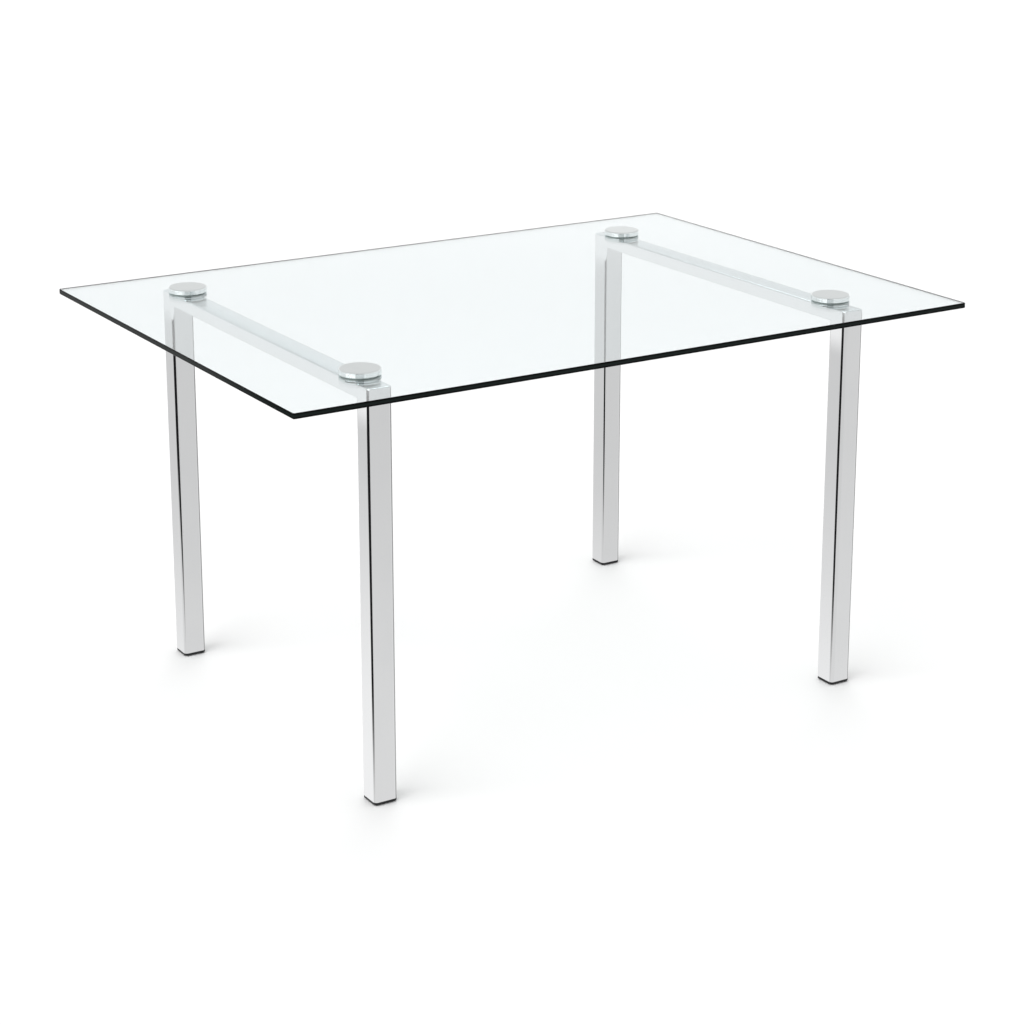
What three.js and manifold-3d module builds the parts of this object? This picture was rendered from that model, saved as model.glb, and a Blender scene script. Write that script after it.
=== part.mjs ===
// Dining table: a clear glass top held by four clamp discs on two welded side frames of square
// chrome tube, with a levelling glide wound up into the plug of each leg.
//
// Millimetres, +Z up. The origin is on the floor under the middle of the top. X runs along the top,
// -Y is the front. Each side frame stands in a plane of constant X: a front leg, a back leg and a
// flat rail welded between their tops.

import * as THREE from 'three';
import { mergeVertices } from 'three/addons/utils/BufferGeometryUtils.js';
import Module from 'manifold-3d';

// The top
const TOP_LENGTH = 1400;
const TOP_WIDTH = 1000;
const TABLE_HEIGHT = 750;
const GLASS_THICKNESS = 10;
const GLASS_CORNER_RADIUS = 4;
const GLASS_ARRIS = 1;
const CLEAR_STRIP = 25;

// The side frames
const LEG_INSET_X = 200;
const LEG_INSET_Y = 105;
const LEG_SIDE = 45;
const LEG_WALL = 1.5;
const LEG_CORNER_RADIUS = 7;
const LEG_PLATE_THICKNESS = 3;
const RAIL_HEIGHT = 25;
const RAIL_WALL = 2;
const RAIL_CORNER_RADIUS = 4;

// The clamps that hold the glass
const CLAMP_INSET = 48;
const DISC_RADIUS = 36;
const CAP_THICKNESS = 10;
const CAP_EDGE_RADIUS = 2.5;
const CAP_BORE_DEPTH = 7;
const SPACER_THICKNESS = 4;
const SPACER_EDGE_CHAMFER = 0.6;
const GASKET_RADIUS = 34.5;
const GASKET_THICKNESS = 1;
const BUSH_WALL = 1.8;
const STUD_RADIUS = 4;
const INSERT_WALL = 1.5;
const INSERT_LENGTH = 14;
const INSERT_FLANGE_WIDTH = 1.6;
const INSERT_FLANGE_THICKNESS = 1.2;
const INSERT_BULGE_LENGTH = 2.5;

// The feet
const FLANGE_THICKNESS = 5;
const FLOOR_CLEARANCE = 1;
const PLUG_DEPTH = 30;
const FIN_WIDTH = 1.5;
const FIN_THICKNESS = 1.6;
const FIN_PITCH = 9;
const PAD_RADIUS = 13;
const PAD_HEIGHT = 6;
const PAD_CHAMFER = 1;
const PAD_BASE_THICKNESS = 1.5;
const PAD_LIP_THICKNESS = 1;
const GLIDE_STUD_RADIUS = 4;
const GLIDE_STUD_LENGTH = 30;
const GLIDE_HEAD_RADIUS = 7;
const GLIDE_HEAD_THICKNESS = 3;
const KEY_SOCKET_RADIUS = 2.9;
const KEY_SOCKET_DEPTH = 4;

// Clearances: SEAT_GAP between faces that rest on each other, FIT_GAP round what passes through or
// turns in another piece, WELD_GAP where the rail's end is cut to the leg
const SEAT_GAP = 0.02;
const FIT_GAP = 0.3;
const WELD_GAP = 0.3;

// How far a cutting tool runs past the faces that it cuts
const CUT_OVERSHOOT = 1;

// Vertices nearer to each other than this are one vertex
const MERGE_DISTANCE = 1e-4;

// How finely round shapes are divided
const CORNER_STEPS = 4;
const HIDDEN_CORNER_STEPS = 2;
const DISC_STEPS = 32;
const SMALL_STEPS = 16;
const KEY_SIDES = 6;

// Places that follow from the sizes above
const legX = TOP_LENGTH / 2 - LEG_INSET_X;
const legY = TOP_WIDTH / 2 - LEG_INSET_Y;
const clampY = legY - CLAMP_INSET;
const glassBottom = TABLE_HEIGHT - GLASS_THICKNESS;
const spacerTop = glassBottom - GASKET_THICKNESS - 2 * SEAT_GAP;
const spacerBottom = spacerTop - SPACER_THICKNESS;
const frameTop = spacerBottom - SEAT_GAP;
const tubeTop = frameTop - LEG_PLATE_THICKNESS - SEAT_GAP;
const flangeTop = FLOOR_CLEARANCE + FLANGE_THICKNESS;
const tubeBottom = flangeTop + SEAT_GAP;
const capBottom = TABLE_HEIGHT + GASKET_THICKNESS + 2 * SEAT_GAP;
const studHole = STUD_RADIUS + FIT_GAP;
const bushRadius = studHole + BUSH_WALL;
const glassHole = bushRadius + FIT_GAP;
const insertRadius = studHole + INSERT_WALL;
const insertHole = insertRadius + FIT_GAP;
const insertFlangeRadius = insertHole + INSERT_FLANGE_WIDTH;

const FINISHES = {
  chrome: { color: 0xd9dadc, roughness: 0.08, metalness: 1 },
  zinc: { color: 0xa9abaa, roughness: 0.35, metalness: 1 },
  glass: { color: 0xe6f4f1, roughness: 0.02, metalness: 0, transparent: true, opacity: 0.35 },
  gasket: { color: 0xc9cfcd, roughness: 0.5, metalness: 0 },
  nylon: { color: 0xe9e8e2, roughness: 0.45, metalness: 0 },
  blackPlastic: { color: 0x101012, roughness: 0.45, metalness: 0 },
};

const wasm = await Module();
wasm.setup();

// A named mesh with a finish of its own.
function piece(name, geometry, finish, x, y, z) {
  const mesh = new THREE.Mesh(geometry, new THREE.MeshStandardMaterial(FINISHES[finish]));
  mesh.name = name;
  mesh.position.set(x, y, z);
  return mesh;
}

// A closed geometry as a manifold solid, for cutting and joining.
function toSolid(geometry) {
  const bare = geometry.clone();
  bare.deleteAttribute('normal');
  bare.deleteAttribute('uv');
  const merged = mergeVertices(bare, MERGE_DISTANCE);
  const vertProperties = new Float32Array(merged.attributes.position.array);
  const triVerts = new Uint32Array(merged.index.array);
  return new wasm.Manifold(new wasm.Mesh({ numProp: 3, vertProperties, triVerts }));
}

// The geometry of a manifold solid.
function toGeometry(solid) {
  const mesh = solid.getMesh();
  const geometry = new THREE.BufferGeometry();
  geometry.setAttribute('position', new THREE.BufferAttribute(mesh.vertProperties, mesh.numProp));
  geometry.setIndex(new THREE.BufferAttribute(mesh.triVerts, 1));
  geometry.computeVertexNormals();
  return geometry;
}

// Draws a rectangle with round corners, centred on the origin, into a Shape or Path.
function drawRoundedRectangle(outline, width, height, radius) {
  const x = width / 2 - radius;
  const y = height / 2 - radius;
  outline.absarc(x, y, radius, 0, Math.PI / 2);
  outline.absarc(-x, y, radius, Math.PI / 2, Math.PI);
  outline.absarc(-x, -y, radius, Math.PI, 1.5 * Math.PI);
  outline.absarc(x, -y, radius, 1.5 * Math.PI, 2 * Math.PI);
  outline.closePath();
  return outline;
}

function roundedRectangle(width, height, radius) {
  return drawRoundedRectangle(new THREE.Shape(), width, height, radius);
}

// The section of a rectangular tube: its outline with its bore as a hole.
function tubeSection(width, height, radius, wall) {
  const section = roundedRectangle(width, height, radius);
  const bore = new THREE.Path();
  section.holes.push(drawRoundedRectangle(bore, width - 2 * wall, height - 2 * wall, radius - wall));
  return section;
}

// A shape raised from z = 0 to z = height.
function raise(shape, height, cornerSteps = CORNER_STEPS) {
  return new THREE.ExtrudeGeometry(shape, {
    depth: height,
    steps: 1,
    bevelEnabled: false,
    curveSegments: cornerSteps,
  });
}

// A profile of [radius, z] points turned about +Z. It runs up the outside and down the inside.
function turn(profile, steps) {
  const points = profile.map(([radius, z]) => new THREE.Vector2(radius, z));
  return new THREE.LatheGeometry(points, steps).rotateX(Math.PI / 2);
}

// A ring of rectangular section from z = 0 to z = height.
function ring(outerRadius, innerRadius, height, steps) {
  return turn(
    [
      [innerRadius, 0],
      [outerRadius, 0],
      [outerRadius, height],
      [innerRadius, height],
      [innerRadius, 0],
    ],
    steps,
  );
}

// An upright cylinder from z = bottom to z = top, for cutting.
function drill(radius, bottom, top, steps, x = 0, y = 0) {
  const geometry = new THREE.CylinderGeometry(radius, radius, top - bottom, steps);
  geometry.rotateX(Math.PI / 2);
  geometry.translate(x, y, (bottom + top) / 2);
  return toSolid(geometry);
}

// The top: a plate with small corner radii, a ground arris all round and a hole for each clamp. The
// band between the two pairs of clamps, which stops a clear strip short of their discs, is joined
// to the drilled ends, so that the middle of the plate is one clean rectangle above and below.
function glassTop() {
  const blank = new THREE.ExtrudeGeometry(
    roundedRectangle(TOP_LENGTH, TOP_WIDTH, GLASS_CORNER_RADIUS),
    {
      depth: GLASS_THICKNESS - 2 * GLASS_ARRIS,
      steps: 1,
      bevelEnabled: true,
      bevelThickness: GLASS_ARRIS,
      bevelSize: GLASS_ARRIS,
      bevelOffset: -GLASS_ARRIS,
      bevelSegments: 1,
      curveSegments: CORNER_STEPS,
    },
  );
  const plate = toSolid(blank.translate(0, 0, GLASS_ARRIS));
  const bandLength = 2 * (legX - DISC_RADIUS - CLEAR_STRIP);
  const bandWidth = TOP_WIDTH + 2 * CUT_OVERSHOOT;
  const bandHeight = 2 * (GLASS_THICKNESS + CUT_OVERSHOOT);
  const band = toSolid(new THREE.BoxGeometry(bandLength, bandWidth, bandHeight));
  let ends = plate.subtract(band);
  for (const x of [-legX, legX]) {
    for (const y of [-clampY, clampY]) {
      const bottom = -CUT_OVERSHOOT;
      const top = GLASS_THICKNESS + CUT_OVERSHOOT;
      ends = ends.subtract(drill(glassHole, bottom, top, SMALL_STEPS, x, y));
    }
  }
  return toGeometry(ends.add(plate.intersect(band)));
}

// A leg: square tube with round corners, cut square at both ends.
function legTube() {
  const section = tubeSection(LEG_SIDE, LEG_SIDE, LEG_CORNER_RADIUS, LEG_WALL);
  return raise(section, tubeTop - tubeBottom);
}

// The plate welded over the open top of a leg, with the tube's own outline.
function legPlate() {
  return raise(roundedRectangle(LEG_SIDE, LEG_SIDE, LEG_CORNER_RADIUS), LEG_PLATE_THICKNESS);
}

// A rail: flat rectangular tube along Y, z = 0 at its top face. Its ends are cut to the round
// corners of the legs, and its top wall is drilled for the two threaded inserts.
function railTube() {
  const section = tubeSection(LEG_SIDE, RAIL_HEIGHT, RAIL_CORNER_RADIUS, RAIL_WALL);
  const blank = raise(section, 2 * legY);
  blank.translate(0, 0, -legY);
  blank.rotateX(Math.PI / 2);
  blank.translate(0, 0, -RAIL_HEIGHT / 2);
  let rail = toSolid(blank);
  for (const side of [-1, 1]) {
    const legSide = LEG_SIDE + 2 * WELD_GAP;
    const cutter = raise(
      roundedRectangle(legSide, legSide, LEG_CORNER_RADIUS + WELD_GAP),
      RAIL_HEIGHT + 2 * CUT_OVERSHOOT,
    );
    cutter.translate(0, side * legY, -RAIL_HEIGHT - CUT_OVERSHOOT);
    rail = rail.subtract(toSolid(cutter));
    const holeBottom = -RAIL_WALL - CUT_OVERSHOOT;
    const hole = drill(insertHole, holeBottom, CUT_OVERSHOOT, SMALL_STEPS, 0, side * clampY);
    rail = rail.subtract(hole);
  }
  return toGeometry(rail);
}

// The disc on top of the glass: round top edge, blind threaded bore underneath.
function capDisc() {
  const edge = [];
  for (let step = 0; step <= CORNER_STEPS; step += 1) {
    const angle = (step / CORNER_STEPS) * (Math.PI / 2);
    edge.push([
      DISC_RADIUS - CAP_EDGE_RADIUS * (1 - Math.cos(angle)),
      CAP_THICKNESS - CAP_EDGE_RADIUS * (1 - Math.sin(angle)),
    ]);
  }
  return turn(
    [
      [0, CAP_BORE_DEPTH],
      [studHole, CAP_BORE_DEPTH],
      [studHole, 0],
      [DISC_RADIUS, 0],
      ...edge,
      [0, CAP_THICKNESS],
    ],
    DISC_STEPS,
  );
}

// The disc between the rail and the glass, relieved underneath for the insert's flange.
function spacerDisc() {
  const reliefRadius = insertFlangeRadius + FIT_GAP;
  const reliefDepth = INSERT_FLANGE_THICKNESS + FIT_GAP;
  return turn(
    [
      [reliefRadius, reliefDepth],
      [reliefRadius, 0],
      [DISC_RADIUS - SPACER_EDGE_CHAMFER, 0],
      [DISC_RADIUS, SPACER_EDGE_CHAMFER],
      [DISC_RADIUS, SPACER_THICKNESS - SPACER_EDGE_CHAMFER],
      [DISC_RADIUS - SPACER_EDGE_CHAMFER, SPACER_THICKNESS],
      [studHole, SPACER_THICKNESS],
      [studHole, reliefDepth],
      [reliefRadius, reliefDepth],
    ],
    DISC_STEPS,
  );
}

// The blind rivet nut set in the rail: z = 0 at the rail's top face. The bulge under the wall is
// where setting it squashed its sleeve.
function railInsert() {
  const bulgeTop = -RAIL_WALL - SEAT_GAP;
  const bulgeBottom = bulgeTop - INSERT_BULGE_LENGTH;
  return turn(
    [
      [studHole, -INSERT_LENGTH],
      [insertRadius, -INSERT_LENGTH],
      [insertRadius, bulgeBottom],
      [insertFlangeRadius, bulgeBottom + INSERT_BULGE_LENGTH / 2],
      [insertRadius, bulgeTop],
      [insertRadius, SEAT_GAP],
      [insertFlangeRadius, SEAT_GAP],
      [insertFlangeRadius, INSERT_FLANGE_THICKNESS],
      [studHole, INSERT_FLANGE_THICKNESS],
      [studHole, -INSERT_LENGTH],
    ],
    SMALL_STEPS,
  );
}

// The threaded stud that joins a cap to its insert, from the insert's lower end to just short of
// the end of the cap's bore.
const clampStudBottom = frameTop - INSERT_LENGTH;
const clampStudTop = capBottom + CAP_BORE_DEPTH - FIT_GAP;

function clampStud() {
  const length = clampStudTop - clampStudBottom;
  return new THREE.CylinderGeometry(STUD_RADIUS, STUD_RADIUS, length, SMALL_STEPS)
    .rotateX(Math.PI / 2)
    .translate(0, 0, length / 2);
}

// Everything that clamps the glass at one point, from the insert in the rail up to the cap.
function clamp(place, x, y) {
  const gasket = () => ring(GASKET_RADIUS, glassHole, GASKET_THICKNESS, DISC_STEPS);
  const bush = ring(bushRadius, studHole, GLASS_THICKNESS, SMALL_STEPS);
  return [
    piece(`rail_insert_${place}`, railInsert(), 'zinc', x, y, frameTop),
    piece(`spacer_disc_${place}`, spacerDisc(), 'chrome', x, y, spacerBottom),
    piece(`lower_gasket_${place}`, gasket(), 'gasket', x, y, spacerTop + SEAT_GAP),
    piece(`hole_bush_${place}`, bush, 'nylon', x, y, glassBottom),
    piece(`upper_gasket_${place}`, gasket(), 'gasket', x, y, TABLE_HEIGHT + SEAT_GAP),
    piece(`clamp_stud_${place}`, clampStud(), 'zinc', x, y, clampStudBottom),
    piece(`clamp_cap_${place}`, capDisc(), 'chrome', x, y, capBottom),
  ];
}

// The heights inside a foot, from the floor up: the pad with its cavity, the head of the stud in
// it, and the recess of the plug that takes the pad.
const cavityBottom = PAD_BASE_THICKNESS;
const cavityTop = PAD_HEIGHT - PAD_LIP_THICKNESS;
const headBottom = cavityBottom + (cavityTop - cavityBottom - GLIDE_HEAD_THICKNESS) / 2;
const recessTop = PAD_HEIGHT + FLOOR_CLEARANCE;
const glideBore = GLIDE_STUD_RADIUS + FIT_GAP;

// The plug in the end of a leg: a flange under the tube, a core with fins that grip the tube's
// bore, a recess for the pad and a threaded bore for its stud. z = 0 is the floor.
function footPlug() {
  const boreSide = LEG_SIDE - 2 * LEG_WALL;
  const finSide = boreSide - 2 * FIT_GAP;
  const coreSide = finSide - 2 * FIN_WIDTH;
  const finRadius = LEG_CORNER_RADIUS - LEG_WALL;
  const plugTop = flangeTop + PLUG_DEPTH;
  const flange = raise(roundedRectangle(LEG_SIDE, LEG_SIDE, LEG_CORNER_RADIUS), FLANGE_THICKNESS);
  flange.translate(0, 0, FLOOR_CLEARANCE);
  const coreOutline = roundedRectangle(coreSide, coreSide, finRadius);
  const core = raise(coreOutline, plugTop - FLOOR_CLEARANCE, HIDDEN_CORNER_STEPS);
  core.translate(0, 0, FLOOR_CLEARANCE);
  let plug = toSolid(flange).add(toSolid(core));
  for (let z = flangeTop + FIN_PITCH; z + FIN_THICKNESS < plugTop; z += FIN_PITCH) {
    const finOutline = roundedRectangle(finSide, finSide, finRadius);
    const fin = raise(finOutline, FIN_THICKNESS, HIDDEN_CORNER_STEPS);
    fin.translate(0, 0, z);
    plug = plug.add(toSolid(fin));
  }
  plug = plug.subtract(drill(PAD_RADIUS + FIT_GAP, 0, recessTop, SMALL_STEPS));
  plug = plug.subtract(drill(glideBore, 0, plugTop + CUT_OVERSHOOT, SMALL_STEPS));
  return toGeometry(plug);
}

// The glide pad: a disc with a cavity that snaps over the stud's head, and a hole in its base for
// the key. z = 0 is the floor.
function glidePad() {
  const keyHole = KEY_SOCKET_RADIUS + FIT_GAP;
  const cavityRadius = GLIDE_HEAD_RADIUS + FIT_GAP;
  return turn(
    [
      [keyHole, 0],
      [PAD_RADIUS - PAD_CHAMFER, 0],
      [PAD_RADIUS, PAD_CHAMFER],
      [PAD_RADIUS, PAD_HEIGHT],
      [glideBore, PAD_HEIGHT],
      [glideBore, cavityTop],
      [cavityRadius, cavityTop],
      [cavityRadius, cavityBottom],
      [keyHole, cavityBottom],
      [keyHole, 0],
    ],
    SMALL_STEPS,
  );
}

// The glide stud: a threaded shank with a flat head and a hexagon socket under it. z = 0 is the
// underside of the head.
function glideStud() {
  const blank = turn(
    [
      [0, 0],
      [GLIDE_HEAD_RADIUS, 0],
      [GLIDE_HEAD_RADIUS, GLIDE_HEAD_THICKNESS],
      [GLIDE_STUD_RADIUS, GLIDE_HEAD_THICKNESS],
      [GLIDE_STUD_RADIUS, GLIDE_STUD_LENGTH],
      [0, GLIDE_STUD_LENGTH],
    ],
    SMALL_STEPS,
  );
  const socket = drill(KEY_SOCKET_RADIUS, -CUT_OVERSHOOT, KEY_SOCKET_DEPTH, KEY_SIDES);
  return toGeometry(toSolid(blank).subtract(socket));
}

// One leg with the plate that closes it, and the foot that stands under it.
function leg(place, x, y) {
  return [
    piece(`leg_${place}`, legTube(), 'chrome', x, y, tubeBottom),
    piece(`leg_plate_${place}`, legPlate(), 'chrome', x, y, tubeTop + SEAT_GAP),
    piece(`foot_plug_${place}`, footPlug(), 'blackPlastic', x, y, 0),
    piece(`glide_pad_${place}`, glidePad(), 'blackPlastic', x, y, 0),
    piece(`glide_stud_${place}`, glideStud(), 'zinc', x, y, headBottom),
  ];
}

const table = new THREE.Group();
table.add(piece('glass_top', glassTop(), 'glass', 0, 0, glassBottom));
for (const [sideName, side] of [['left', -1], ['right', 1]]) {
  const x = side * legX;
  const sideFrame = new THREE.Group();
  sideFrame.position.x = x;
  sideFrame.add(piece(`rail_${sideName}`, railTube(), 'chrome', 0, 0, frameTop));
  for (const [endName, end] of [['front', -1], ['back', 1]]) {
    const place = `${endName}_${sideName}`;
    sideFrame.add(...leg(place, 0, end * legY));
    sideFrame.add(...clamp(place, 0, end * clampY));
  }
  table.add(sideFrame);
}

export default table;
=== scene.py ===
"""A dining table: a clear glass top on two welded side frames of chromed square tube.

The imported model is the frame. Each visible piece is a surface worked out with numpy, in metres, and
takes its place and its overall size from the node it stands for.
"""

import math

import bpy
import numpy as np
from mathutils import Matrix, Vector


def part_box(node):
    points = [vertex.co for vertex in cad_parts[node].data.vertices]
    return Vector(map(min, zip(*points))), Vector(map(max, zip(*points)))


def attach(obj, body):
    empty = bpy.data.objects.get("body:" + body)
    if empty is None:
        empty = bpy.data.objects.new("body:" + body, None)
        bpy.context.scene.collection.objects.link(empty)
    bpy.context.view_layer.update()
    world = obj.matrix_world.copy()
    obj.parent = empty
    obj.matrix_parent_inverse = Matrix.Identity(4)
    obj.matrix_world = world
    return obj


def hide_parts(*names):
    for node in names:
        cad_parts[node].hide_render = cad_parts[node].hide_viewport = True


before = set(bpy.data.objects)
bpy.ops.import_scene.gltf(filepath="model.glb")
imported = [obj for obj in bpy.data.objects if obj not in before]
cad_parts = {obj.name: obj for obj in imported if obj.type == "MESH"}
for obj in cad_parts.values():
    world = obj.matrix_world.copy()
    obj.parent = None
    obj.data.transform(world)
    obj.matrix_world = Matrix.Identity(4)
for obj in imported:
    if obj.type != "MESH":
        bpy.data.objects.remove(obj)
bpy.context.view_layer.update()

PLACES = ["front_left", "back_left", "front_right", "back_right"]
MM = 0.001


# The camera: a longish lens from the front left, a little above eye height, with a small downward
# shift that keeps the legs nearly upright.

CAMERA_PLACE = (-2.251, -3.656, 1.776)
CAMERA_TURN = 0.5542
CAMERA_TILT = 0.2571
CAMERA_LENS = 82.0
CAMERA_SHIFT = -0.160

scene = bpy.context.scene
scene.view_settings.view_transform = "Standard"
camera = bpy.data.objects.new("camera", bpy.data.cameras.new("camera"))
scene.collection.objects.link(camera)
scene.camera = camera
camera.data.lens = CAMERA_LENS
camera.data.sensor_width = 36
camera.data.shift_y = CAMERA_SHIFT
camera.data.clip_end = 200
camera.location = CAMERA_PLACE
looks_along = Vector(
    (
        math.sin(CAMERA_TURN) * math.cos(CAMERA_TILT),
        math.cos(CAMERA_TURN) * math.cos(CAMERA_TILT),
        -math.sin(CAMERA_TILT),
    )
)
camera.rotation_euler = looks_along.to_track_quat("-Z", "Y").to_euler()


# The studio: a white sweep under and behind the table, even white light from all round, a very wide
# soft light from the left that gives each foot a short shadow, and a weaker one from behind.

FLOOR_HALF_WIDTH = 60
FLOOR_DROP = 0.2 * MM
FLOOR_WHITE = (0.722, 0.722, 0.722, 1)
FLOOR_FAINT_GREY = (0.716, 0.716, 0.716, 1)
SOFT_LIGHTS = {
    "key_light": {"from": (-0.80, -0.12, 0.59), "spread": math.radians(62), "strength": 2.0},
    "back_light": {"from": (0.36, 0.58, 0.73), "spread": math.radians(34), "strength": 0.62},
}

# What mirrors see on the studio's grey walls. A patch fades out round the direction it lies in,
# between two cosines, and at its foot and its top, between two sines of the angle above the horizon.
SKY_WHITE = 0.98
WALL_GREY = 0.65
WALL_PATCHES = {
    "floor_glow": {"adds": 0.09, "top": (-0.42, -0.28)},
    "left_card": {
        "adds": 0.20, "towards": (-0.45, 0.82, -0.36), "edge": (0.80, 0.96), "top": (-0.42, -0.28)
    },
    "right_card": {"adds": 0.10, "towards": (0.80, -0.52, -0.30), "edge": (0.94, 0.995)},
    "back_flag": {
        "adds": -0.36, "towards": (0.92, 0.25, -0.30), "edge": (0.70, 0.88), "top": (-0.19, -0.12)
    },
    "skirting": {
        "adds": -0.40, "towards": (0, 1, 0), "edge": (0.20, 0.50), "foot": (-0.17, -0.13),
        "top": (-0.03, 0.0)
    },
    "low_band": {"adds": 0.38, "foot": (-0.03, 0.01), "top": (0.14, 0.24)},
    "upper_wall": {"adds": 0.14, "foot": (0.05, 0.22)},
}
CEILING_SHADE = 0.55
CEILING_FADE = (0.36, 0.50)


class Wire:
    """A socket of a node tree. Arithmetic on it adds Math nodes, and node() adds any other node."""

    def __init__(self, tree, socket=None):
        self.tree = tree
        self.socket = socket

    def node(self, kind, settings={}, inputs={}, output=0):
        """Adds a node, sets its settings, then fills its sockets with values or links."""
        made = self.tree.nodes.new(kind)
        for name, value in settings.items():
            setattr(made, name, value)
        for key, value in inputs.items():
            if isinstance(value, Wire):
                self.tree.links.new(value.socket, made.inputs[key])
            else:
                made.inputs[key].default_value = value
        return Wire(self.tree, made.outputs[output] if made.outputs else None)

    def math(self, operation, first, second=0.0):
        return self.node("ShaderNodeMath", {"operation": operation}, {0: first, 1: second})

    def __add__(self, other):
        return self.math("ADD", self, other)

    __radd__ = __add__

    def __sub__(self, other):
        return self.math("SUBTRACT", self, other)

    def __rsub__(self, other):
        return self.math("SUBTRACT", other, self)

    def __mul__(self, other):
        return self.math("MULTIPLY", self, other)

    __rmul__ = __mul__

    def rise(self, start, end):
        """0 below start and 1 above end, with a smooth rise between them."""
        return self.node(
            "ShaderNodeMapRange",
            {"interpolation_type": "SMOOTHSTEP"},
            {"Value": self, "From Min": start, "From Max": end},
        )

    def fall(self, start, end):
        """1 below start and 0 above end, with a smooth fall between them."""
        return 1 - self.rise(start, end)

    def between(self, first, second):
        """The colour that is first where this is 0 and second where it is 1."""
        return self.node(
            "ShaderNodeMix", {"data_type": "RGBA"}, {0: self, 6: first, 7: second}, 2
        )

    def noise(self, scale, detail=2.0):
        """Soft noise over this place, between 0 and 1."""
        return self.node(
            "ShaderNodeTexNoise", inputs={"Vector": self, "Scale": scale, "Detail": detail}
        )


def material(name, build):
    """A material whose surface is the shader that build(start) gives."""
    made = bpy.data.materials.new(name)
    made.use_nodes = True
    made.node_tree.nodes.clear()
    start = Wire(made.node_tree)
    start.node("ShaderNodeOutputMaterial", inputs={"Surface": build(start)})
    return made


def studio_light(start):
    """What shines from each direction. The eye and dull surfaces see even white, and mirrors see the
    grey walls with their patches. What a mirror sees through the glass is white up to the ceiling."""
    direction = start.node("ShaderNodeTexCoord", output="Generated")

    def along(towards):
        across = {"operation": "DOT_PRODUCT"}
        return direction.node("ShaderNodeVectorMath", across, {0: direction, 1: towards}, 1)

    height = along((0, 0, 1))
    walls = WALL_GREY
    for patch in WALL_PATCHES.values():
        shown = patch["adds"]
        if "towards" in patch:
            shown = shown * along(patch["towards"]).rise(*patch["edge"])
        if "foot" in patch:
            shown = shown * height.rise(*patch["foot"])
        if "top" in patch:
            shown = shown * height.fall(*patch["top"])
        walls = walls + shown
    through_glass = start.node("ShaderNodeLightPath", output="Is Transmission Ray")
    mirrored = start.node("ShaderNodeLightPath", output="Is Glossy Ray") * (1 - through_glass)
    dark_ceiling = through_glass * CEILING_SHADE * height.rise(*CEILING_FADE)
    strength = mirrored * (walls - SKY_WHITE) + SKY_WHITE - dark_ceiling
    return start.node("ShaderNodeBackground", inputs={"Color": (1, 1, 1, 1), "Strength": strength})


world = bpy.data.worlds.new("studio")
scene.world = world
world.use_nodes = True
world.node_tree.nodes.clear()
sky = Wire(world.node_tree)
sky.node("ShaderNodeOutputWorld", inputs={"Surface": studio_light(sky)})


def floor_finish(start):
    """Dead matt white paint with the faintest mottle."""
    place = start.node("ShaderNodeTexCoord", output="Object")
    mottle = place.noise(0.7, 2.0)
    colour = mottle.between(FLOOR_WHITE, FLOOR_FAINT_GREY)
    return start.node(
        "ShaderNodeBsdfPrincipled",
        inputs={"Base Color": colour, "Roughness": 1.0, "Specular IOR Level": 0.0},
    )


floor_edge = np.array([(-1, -1), (1, -1), (1, 1), (-1, 1)], float) * FLOOR_HALF_WIDTH
floor_points = np.column_stack([floor_edge, np.full(4, -FLOOR_DROP)])
floor_mesh = bpy.data.meshes.new("floor")
floor_mesh.from_pydata(floor_points.tolist(), [], [(0, 1, 2, 3)])
floor_mesh.materials.append(material("studio_floor", floor_finish))
floor = bpy.data.objects.new("floor", floor_mesh)
scene.collection.objects.link(floor)
floor.visible_glossy = False

for name, lamp in SOFT_LIGHTS.items():
    light = bpy.data.objects.new(name, bpy.data.lights.new(name, "SUN"))
    light.data.angle = lamp["spread"]
    light.data.energy = lamp["strength"]
    light.data.specular_factor = 0.0
    light.rotation_euler = (-Vector(lamp["from"])).to_track_quat("-Z", "Y").to_euler()
    light.visible_glossy = False
    scene.collection.objects.link(light)


# The dark flags: two sheets of black felt on stands, left of the left legs and between the frames.
# Only mirrors see them, from their right-hand side, and they draw the dark line down each corner.

FLAGS = {
    "left_flag": {"x": -1.15, "y": (-0.80, 0.70), "top": 0.56},
    "middle_flag": {"x": -0.25, "y": (-0.85, 0.30), "top": 0.54},
}
FLAG_FADE = (-0.34, -0.06)
FLAG_FADE_CLIMB = 0.34
FLAG_CLIMB_FROM = (-0.1, 0.5)


def flag_finish(start):
    """Black felt with a soft lower edge, higher towards the back, seen only from its front."""
    place = start.node("ShaderNodeTexCoord", output="Object")
    height = start.node("ShaderNodeSeparateXYZ", inputs={0: place}, output="Z")
    depth = start.node("ShaderNodeSeparateXYZ", inputs={0: place}, output="Y")
    climb = FLAG_FADE_CLIMB * depth.rise(*FLAG_CLIMB_FROM)
    behind = start.node("ShaderNodeNewGeometry", output="Backfacing")
    felt = start.node("ShaderNodeEmission", inputs={"Color": (0.012, 0.012, 0.013, 1)})
    clear = start.node("ShaderNodeBsdfTransparent")
    shown = (height - climb).rise(*FLAG_FADE) * (1 - behind)
    return start.node("ShaderNodeMixShader", inputs={0: shown, 1: clear, 2: felt})


def upright_corners(x, near, far, foot, top):
    """The corners of an upright sheet that runs from near to far along y and faces +x."""
    return [(x, near, foot), (x, far, foot), (x, far, top), (x, near, top)]


def stand_for_mirrors(name, corners, finish):
    """A flat sheet of studio equipment that shows in mirrors and nowhere else."""
    sheet = bpy.data.meshes.new(name)
    sheet.from_pydata(corners, [], [(0, 1, 2, 3)])
    sheet.materials.append(finish)
    piece = bpy.data.objects.new(name, sheet)
    scene.collection.objects.link(piece)
    for ray in ["camera", "diffuse", "transmission", "shadow", "volume_scatter"]:
        setattr(piece, f"visible_{ray}", False)


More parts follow.
